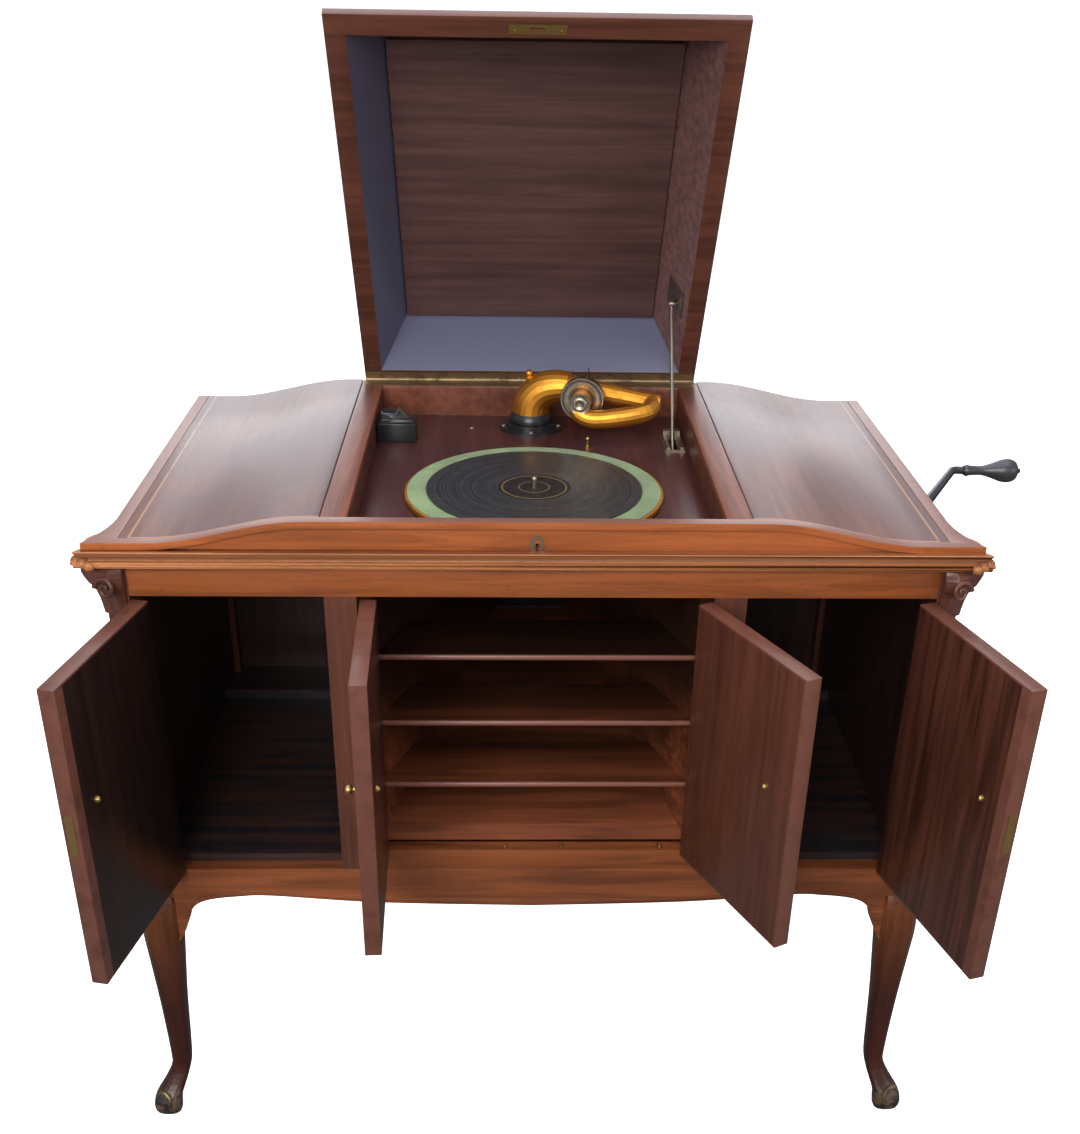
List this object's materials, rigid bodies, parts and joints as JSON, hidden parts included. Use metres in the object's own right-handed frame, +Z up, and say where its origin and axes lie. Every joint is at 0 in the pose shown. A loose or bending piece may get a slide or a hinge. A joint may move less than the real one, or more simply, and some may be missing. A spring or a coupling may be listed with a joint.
{
  "type": "gramophone cabinet",
  "caption": "Console gramophone: hump-backed cabinet on cabriole legs, hinged lid over a turntable and tone arm, louvred horn and two record compartments behind doors.",
  "frame": {"origin": "on the floor, midway between the feet: the centre line and the middle of the depth", "axes": "+Z up, -Y out of the front (the doors), +X towards the crank"},
  "size_m": [1.1257, 0.7929, 1.3036],
  "materials": {
    "wood": "red-brown mahogany, aged satin varnish",
    "light_wood": "orange-brown mahogany, aged satin varnish",
    "dark_wood": "dark mahogany, worn varnish",
    "brass": "dull brass",
    "gilt": "bright gilt plating",
    "nickel": "worn nickel plating",
    "black_iron": "black enamelled iron",
    "black_handle": "black stained grip",
    "felt": "faded green felt",
    "shellac": "black shellac",
    "gunmetal": "dark plated metal"
  },
  "bodies": {
    "cabinet": {"front_left_leg": "wood", "front_right_leg": "wood", "rear_legs": "wood", "left_side_panel": "dark_wood", "right_side_panel": "dark_wood", "back_panel": "dark_wood", "bottom_board": "dark_wood", "partitions": "wood", "front_rail": "light_wood", "front_board": "light_wood", "belt_moulding": "light_wood", "front_apron": "light_wood", "centre_sill": "light_wood", "inner_boards": "dark_wood", "left_top_panel": "wood", "right_top_panel": "wood", "top_moulding": "light_wood", "well_frame": "wood", "motorboard": "dark_wood", "scroll_capitals": "wood", "horn_boards": "light_wood", "louvres": "light_wood", "horn_elbow": "black_iron", "door_hinge_leaves": "brass", "lid_hinge_fixed_leaf": "brass", "lid_lock": "nickel", "door_catches": "brass", "motor_frame": "black_iron", "needle_box": "black_iron", "arm_rest_post": "brass", "stay_bracket": "nickel", "tonearm_base": "black_iron", "board_screws": "nickel", "crank_bush": "brass"},
    "lid": {"lid_walls": "wood", "lid_panel": "wood", "lid_hinge_moving_leaf": "brass", "strike_plate": "brass", "stay_fitting": "nickel"},
    "stay": {"stay_rod": "nickel"},
    "outer_left": {"outer_left_door": "dark_wood", "outer_left_brass": "brass"},
    "outer_right": {"outer_right_door": "dark_wood", "outer_right_brass": "brass"},
    "inner_left": {"inner_left_door": "dark_wood", "inner_left_brass": "brass"},
    "inner_right": {"inner_right_door": "dark_wood", "inner_right_brass": "brass"},
    "turntable": {"platter": "gilt", "platter_felt": "felt", "record": "shellac", "spindle": "nickel"},
    "barrel": {"spring_barrel": "black_iron"},
    "arbor": {"spring_arbor": "nickel"},
    "governor": {"governor": "brass"},
    "crank": {"crank_arm": "black_iron", "crank_handle": "black_handle"},
    "tonearm": {"tonearm": "gilt"},
    "gooseneck": {"gooseneck": "gilt", "sound_box": "gunmetal"}
  },
  "joints": [
    {"name": "lid_hinge", "type": "hinge", "parent": "cabinet", "child": "lid", "pos_m": [0, 0.2595, 0.8385], "axis": [1, 0, 0], "range_deg": [0, 60.4]},
    {"name": "stay_pivot", "type": "hinge", "parent": "lid", "child": "stay", "pos_m": [0.184, 0.22481, 0.9522], "axis": [1, 0, 0], "range_deg": [-43, 0]},
    {"name": "outer_left_hinge", "type": "hinge", "parent": "cabinet", "child": "outer_left", "pos_m": [-0.43525, -0.2623, 0.571], "axis": [0, 0, 1], "range_deg": [-8, 102]},
    {"name": "outer_right_hinge", "type": "hinge", "parent": "cabinet", "child": "outer_right", "pos_m": [0.43525, -0.2623, 0.571], "axis": [0, 0, -1], "range_deg": [-4, 106]},
    {"name": "inner_left_hinge", "type": "hinge", "parent": "cabinet", "child": "inner_left", "pos_m": [-0.19325, -0.2623, 0.585], "axis": [0, 0, 1], "range_deg": [-28, 88]},
    {"name": "inner_right_hinge", "type": "hinge", "parent": "cabinet", "child": "inner_right", "pos_m": [0.19325, -0.2623, 0.585], "axis": [0, 0, -1], "range_deg": [0, 116]},
    {"name": "turntable_spin", "type": "hinge", "parent": "cabinet", "child": "turntable", "pos_m": [0, -0.073, 0.799], "axis": [0, 0, 1], "continuous": true},
    {"name": "governor_spin", "type": "hinge", "parent": "cabinet", "child": "governor", "pos_m": [0, -0.135, 0.757], "axis": [1, 0, 0], "continuous": true},
    {"name": "barrel_spin", "type": "hinge", "parent": "arbor", "child": "barrel", "pos_m": [0, -0.04, 0.732], "axis": [1, 0, 0], "continuous": true},
    {"name": "crank_turn", "type": "hinge", "parent": "cabinet", "child": "crank", "pos_m": [0, -0.028, 0.77], "axis": [1, 0, 0], "continuous": true},
    {"name": "arbor_turn", "type": "hinge", "parent": "cabinet", "child": "arbor", "pos_m": [0, -0.04, 0.732], "axis": [1, 0, 0], "continuous": true},
    {"name": "tonearm_swing", "type": "hinge", "parent": "cabinet", "child": "tonearm", "pos_m": [0, 0.183, 0.802], "axis": [0, 0, 1], "range_deg": [-68, 5]},
    {"name": "gooseneck_flip", "type": "hinge", "parent": "tonearm", "child": "gooseneck", "pos_m": [0.158, 0.15, 0.842], "axis": [-0.1821, -0.9833, 0], "range_deg": [-75, 0]}
  ],
  "couplings": [
    {"joint": "stay_pivot", "follows": "lid_hinge", "ratio": -0.7},
    {"joint": "governor_spin", "follows": "turntable_spin", "ratio": 12},
    {"joint": "arbor_turn", "follows": "crank_turn", "ratio": -0.33784}
  ]
}
